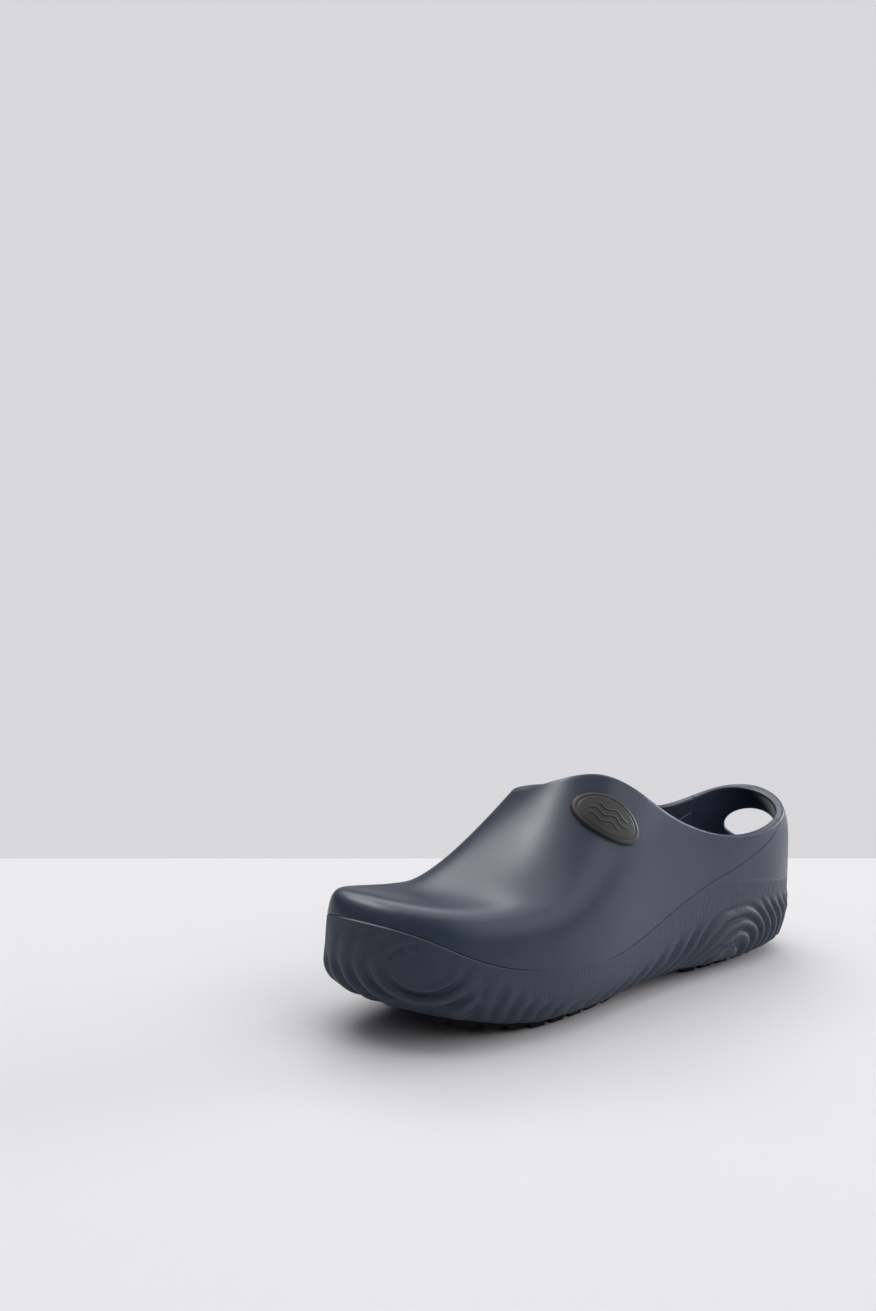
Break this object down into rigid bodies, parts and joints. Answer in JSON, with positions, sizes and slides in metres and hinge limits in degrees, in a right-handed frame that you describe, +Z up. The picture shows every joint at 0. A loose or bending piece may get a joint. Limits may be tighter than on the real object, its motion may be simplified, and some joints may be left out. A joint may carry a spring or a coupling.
{
  "type": "garden clog",
  "caption": "Slip-on rubber garden clog for the left foot: high vamp, thick sole with sidewall, open heel loop and a lift-out footbed.",
  "frame": {"origin": "on the ground, under the centre of the clog's box", "axes": "+X outer side of the foot, +Y heel, -Y toe, +Z up"},
  "size_m": [0.1006, 0.2707, 0.1102],
  "materials": {
    "upper_rubber": "navy, smooth satin, moulded",
    "sole_rubber": "dark navy, matt with a fine grain",
    "tread_rubber": "near-black navy, matt",
    "pad_sponge": "grey closed-cell foam",
    "footbed_foam": "dark grey closed-cell foam",
    "cover_cloth": "dark woven cloth",
    "badge_rubber": "charcoal, matt, with a polished chamfer"
  },
  "bodies": {
    "clog": {"upper_shell": "upper_rubber", "sole_unit": "sole_rubber", "forefoot_tread": "tread_rubber", "heel_tread": "tread_rubber", "heel_pad": "pad_sponge", "badge": "badge_rubber"},
    "insole": {"footbed": "footbed_foam", "footbed_cover": "cover_cloth"}
  },
  "joints": [
    {"name": "footbed_lift", "type": "hinge", "parent": "clog", "child": "insole", "pos_m": [0, -0.128, 0.0292], "axis": [1, 0, 0], "range_deg": [0, 14]}
  ]
}
